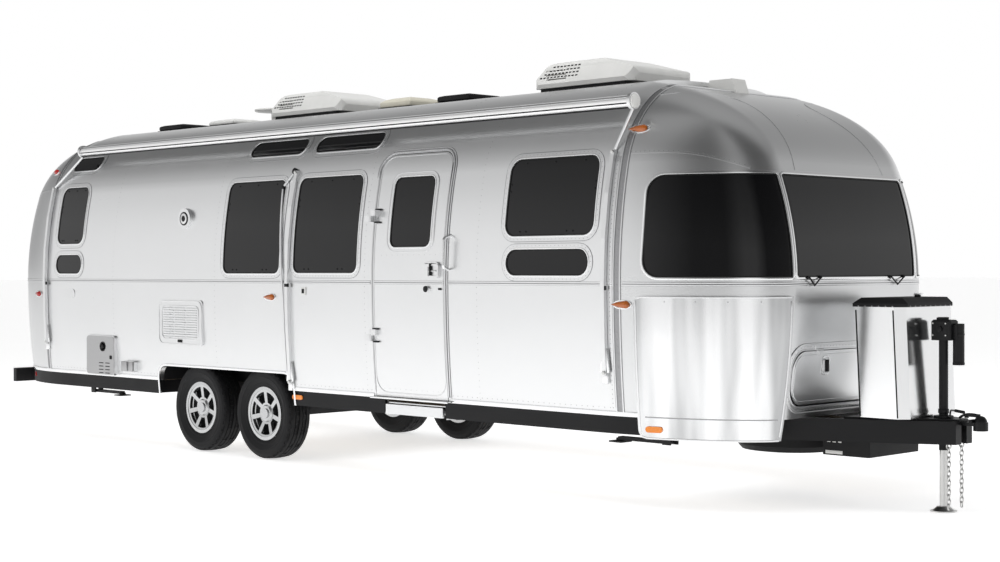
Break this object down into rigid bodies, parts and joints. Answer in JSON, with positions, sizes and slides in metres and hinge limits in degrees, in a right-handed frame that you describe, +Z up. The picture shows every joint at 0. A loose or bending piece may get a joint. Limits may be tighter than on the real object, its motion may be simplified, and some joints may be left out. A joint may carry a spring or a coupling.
{
  "type": "travel caravan",
  "caption": "Twin-axle riveted aluminium travel caravan with rounded ends, hinged door and hatch, pull-out step, roof coolers, folded awning, gas cover and tongue jack",
  "frame": {"origin": "on the ground under the middle of the whole outline", "axes": "+X forward to the hitch, +Y to the street side, -Y to the curb side with the door, +Z up"},
  "size_m": [10.166, 2.6786, 3.112],
  "materials": {
    "skin_aluminium": "bright rolled sheet under a clear coat",
    "satin_aluminium": "satin extrusion",
    "dark_glass": "grey tinted, flush glazed",
    "composite_floor": "sealed board",
    "black_plastic": "satin moulded",
    "chassis_paint": "satin black",
    "white_plastic": "weathered white",
    "bottle_paint": "white enamel",
    "amber_lens": "moulded lens",
    "red_lens": "moulded lens",
    "zinc_steel": "zinc plated",
    "tyre_rubber": "matt, with fine sidewall ribs",
    "cast_alloy": "machined and clear coated"
  },
  "bodies": {
    "trailer": {"wall_curbside": "skin_aluminium", "wall_streetside": "skin_aluminium", "roof": "skin_aluminium", "front_end": "skin_aluminium", "rear_end": "skin_aluminium", "side_windows": "dark_glass", "end_windows": "dark_glass", "window_frames": "satin_aluminium", "fixed_hinges": "satin_aluminium", "grab_handle": "satin_aluminium", "floor": "composite_floor", "wheel_wells": "black_plastic", "chassis_rails": "chassis_paint", "cross_members": "chassis_paint", "tongue_frame": "chassis_paint", "belly_pans": "skin_aluminium", "side_skirts": "black_plastic", "axles": "chassis_paint", "spare_wheel": "tyre_rubber", "rock_guards": "skin_aluminium", "air_conditioner_shrouds": "white_plastic", "roof_unit_bases": "black_plastic", "roof_vent_lids": "white_plastic", "aerials": "black_plastic", "awning_roller": "white_plastic", "awning_arms": "satin_aluminium", "rear_bumper": "satin_aluminium", "marker_lamps": "amber_lens", "rear_lamps": "red_lens", "service_panels": "satin_aluminium", "step_frame": "satin_aluminium", "gas_cover": "skin_aluminium", "gas_bottles": "bottle_paint", "jack_body": "chassis_paint", "coupler": "chassis_paint", "safety_chains": "zinc_steel", "battery_box": "black_plastic"},
    "entry_door": {"entry_door": "skin_aluminium", "door_window": "dark_glass", "door_trim": "satin_aluminium", "door_handle": "satin_aluminium"},
    "front_hatch": {"front_hatch": "skin_aluminium", "hatch_fittings": "satin_aluminium"},
    "step": {"entry_step": "satin_aluminium"},
    "gas_lid": {"gas_lid": "black_plastic"},
    "jack_leg": {"jack_leg": "zinc_steel"},
    "wheel_rear_curb": {"tyre_rear_curb": "tyre_rubber", "rim_rear_curb": "cast_alloy"},
    "stabiliser_rear_curb": {"stabiliser_rear_curb": "chassis_paint"},
    "wheel_rear_street": {"tyre_rear_street": "tyre_rubber", "rim_rear_street": "cast_alloy"},
    "stabiliser_rear_street": {"stabiliser_rear_street": "chassis_paint"},
    "wheel_front_curb": {"tyre_front_curb": "tyre_rubber", "rim_front_curb": "cast_alloy"},
    "stabiliser_front_curb": {"stabiliser_front_curb": "chassis_paint"},
    "wheel_front_street": {"tyre_front_street": "tyre_rubber", "rim_front_street": "cast_alloy"},
    "stabiliser_front_street": {"stabiliser_front_street": "chassis_paint"}
  },
  "joints": [
    {"name": "entry_door_hinge", "type": "hinge", "parent": "trailer", "child": "entry_door", "pos_m": [0.7, -1.302, 1.5], "axis": [0, 0, 1], "range_deg": [-165, 0]},
    {"name": "step_slide", "type": "slide", "parent": "trailer", "child": "step", "axis": [0, -1, 0], "range_m": [0, 0.24]},
    {"name": "gas_lid_hinge", "type": "hinge", "parent": "trailer", "child": "gas_lid", "pos_m": [4.304, 0, 1.302], "axis": [0, -1, 0], "range_deg": [0, 90]},
    {"name": "front_hatch_hinge", "type": "hinge", "parent": "trailer", "child": "front_hatch", "pos_m": [4.122, 0, 1.026], "axis": [0, -1, 0], "range_deg": [0, 38]},
    {"name": "jack_slide", "type": "slide", "parent": "trailer", "child": "jack_leg", "axis": [0, 0, 1], "range_m": [-0.07, 0.33]},
    {"name": "wheel_rear_curb_spin", "type": "hinge", "parent": "trailer", "child": "wheel_rear_curb", "pos_m": [-1.67, -1.087, 0.372], "axis": [0, 1, 0], "continuous": true},
    {"name": "wheel_rear_street_spin", "type": "hinge", "parent": "trailer", "child": "wheel_rear_street", "pos_m": [-1.67, 1.087, 0.372], "axis": [0, 1, 0], "continuous": true},
    {"name": "wheel_front_curb_spin", "type": "hinge", "parent": "trailer", "child": "wheel_front_curb", "pos_m": [-0.781, -1.087, 0.372], "axis": [0, 1, 0], "continuous": true},
    {"name": "wheel_front_street_spin", "type": "hinge", "parent": "trailer", "child": "wheel_front_street", "pos_m": [-0.781, 1.087, 0.372], "axis": [0, 1, 0], "continuous": true},
    {"name": "stabiliser_front_curb_hinge", "type": "hinge", "parent": "trailer", "child": "stabiliser_front_curb", "pos_m": [3.38, -1.04, 0.42], "axis": [0, -1, 0], "range_deg": [0, 68]},
    {"name": "stabiliser_front_street_hinge", "type": "hinge", "parent": "trailer", "child": "stabiliser_front_street", "pos_m": [3.38, 1.04, 0.42], "axis": [0, -1, 0], "range_deg": [0, 68]},
    {"name": "stabiliser_rear_curb_hinge", "type": "hinge", "parent": "trailer", "child": "stabiliser_rear_curb", "pos_m": [-3.53, -1.04, 0.42], "axis": [0, 1, 0], "range_deg": [0, 68]},
    {"name": "stabiliser_rear_street_hinge", "type": "hinge", "parent": "trailer", "child": "stabiliser_rear_street", "pos_m": [-3.53, 1.04, 0.42], "axis": [0, 1, 0], "range_deg": [0, 68]}
  ]
}
